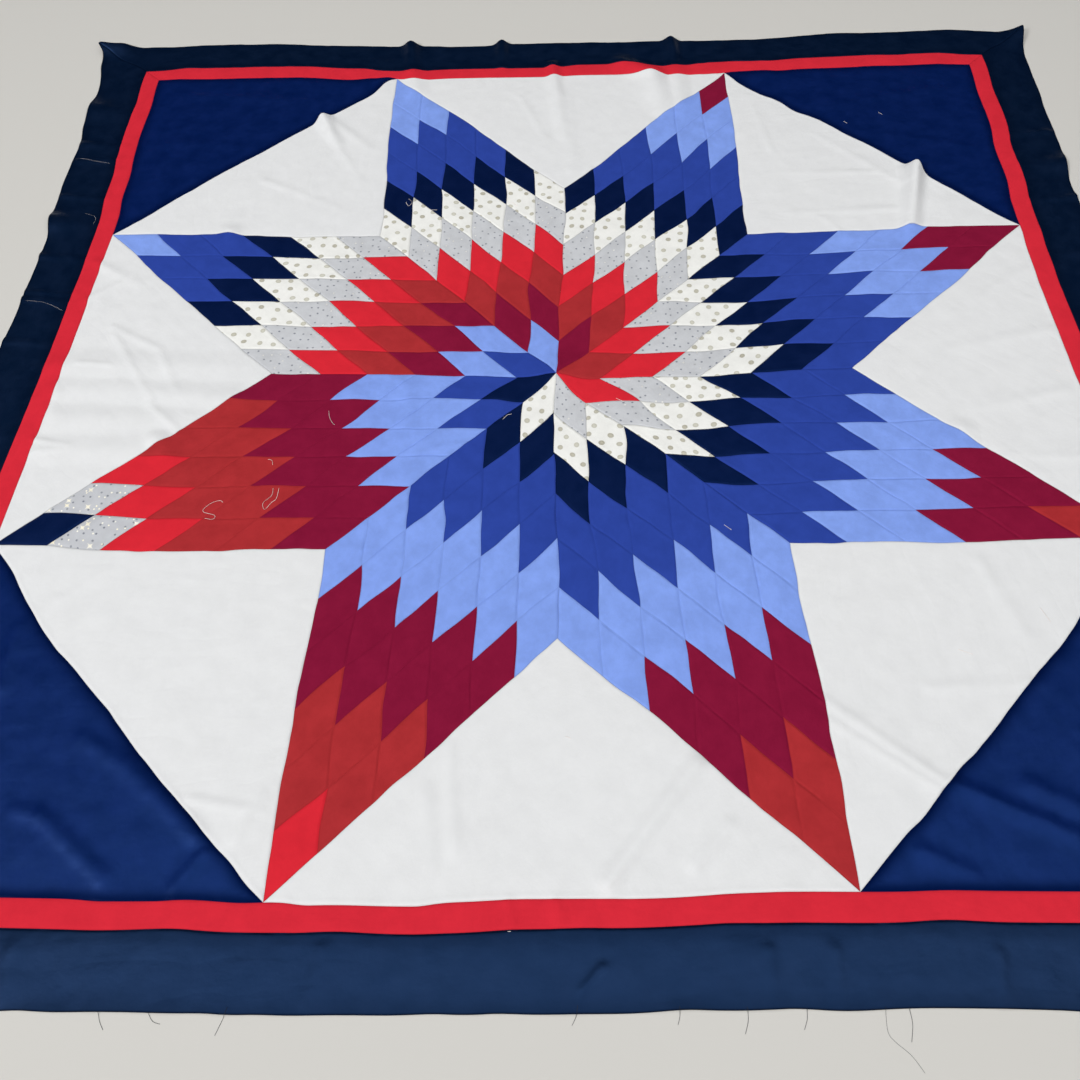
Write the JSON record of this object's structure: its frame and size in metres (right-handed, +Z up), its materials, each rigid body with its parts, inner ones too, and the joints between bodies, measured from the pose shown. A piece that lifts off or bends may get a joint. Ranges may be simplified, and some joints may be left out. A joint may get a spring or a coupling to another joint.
{
  "type": "star quilt blanket",
  "caption": "Square pieced star quilt top laid out flat: an eight-pointed star of small diamonds in a white and navy square, with a narrow red and a wide navy mitred border.",
  "frame": {"origin": "middle of the laid cloth's outline, on the surface that it lies on", "axes": "+Z up out of the cloth's face, +Y towards its back edge, +X towards its right edge"},
  "size_m": [2.249, 2.166, 0.023],
  "materials": {
    "star_cottons": "plain woven cotton diamonds in light blue, royal blue, navy, burgundy, rust, red, dotted cream and grey",
    "white_cotton": "plain woven white cotton, slightly creased",
    "navy_cotton": "plain woven navy cotton, matt",
    "red_cotton": "plain woven red cotton, matt",
    "dark_navy_cotton": "dark navy cotton with a slight sheen and a raw outer edge"
  },
  "bodies": {
    "root": {"star_point_1": "star_cottons", "star_point_2": "star_cottons", "star_point_3": "star_cottons", "star_point_4": "star_cottons", "star_point_5": "star_cottons", "star_point_6": "star_cottons", "star_point_7": "star_cottons", "star_point_8": "star_cottons", "setting_panel_1": "white_cotton", "setting_panel_2": "white_cotton", "setting_panel_3": "white_cotton", "setting_panel_4": "white_cotton", "setting_panel_5": "white_cotton", "setting_panel_6": "white_cotton", "setting_panel_7": "white_cotton", "setting_panel_8": "white_cotton", "corner_panel_1": "navy_cotton", "corner_panel_2": "navy_cotton", "corner_panel_3": "navy_cotton", "corner_panel_4": "navy_cotton", "red_strip_back": "red_cotton", "red_strip_right": "red_cotton", "red_strip_front": "red_cotton", "red_strip_left": "red_cotton", "navy_strip_back": "dark_navy_cotton", "navy_strip_right": "dark_navy_cotton", "navy_strip_front": "dark_navy_cotton", "navy_strip_left": "dark_navy_cotton"}
  },
  "joints": []
}
